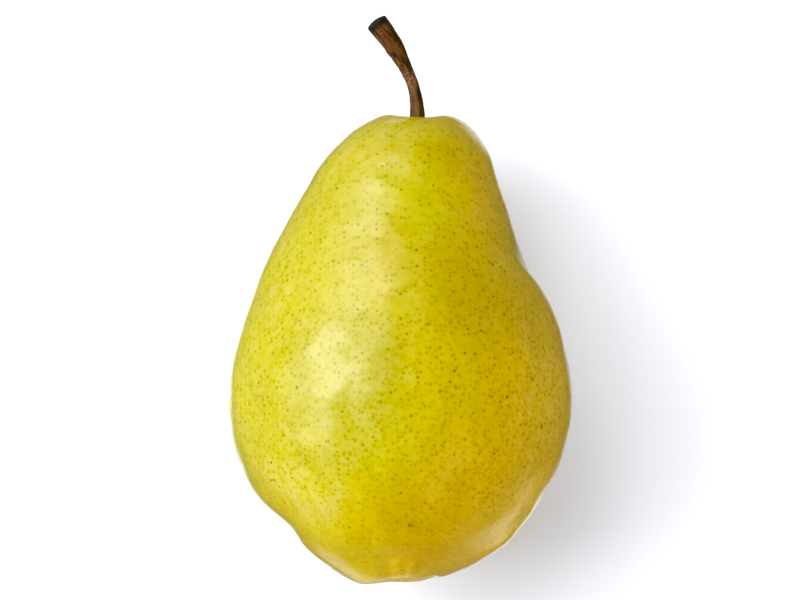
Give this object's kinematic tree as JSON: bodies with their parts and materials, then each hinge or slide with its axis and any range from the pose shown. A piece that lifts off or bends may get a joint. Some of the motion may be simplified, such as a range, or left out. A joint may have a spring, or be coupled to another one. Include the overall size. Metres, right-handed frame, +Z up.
{
  "type": "pear",
  "caption": "Ripe yellow-green pear with a curved stem and a dried calyx, lying on its side on a small flat spot.",
  "frame": {"origin": "middle of the small flat spot that the fruit rests on", "axes": "+Y towards the stem, +Z up, +X to the right when seen from above with the stem pointing away"},
  "size_m": [0.0699, 0.1168, 0.07],
  "materials": {
    "skin": null,
    "bark": "dry brown bark, satin, with lengthwise streaks",
    "dried_calyx": "matt, dry and brown"
  },
  "bodies": {
    "root": {"fruit": "skin", "stem": "bark", "calyx": "dried_calyx"}
  },
  "joints": []
}
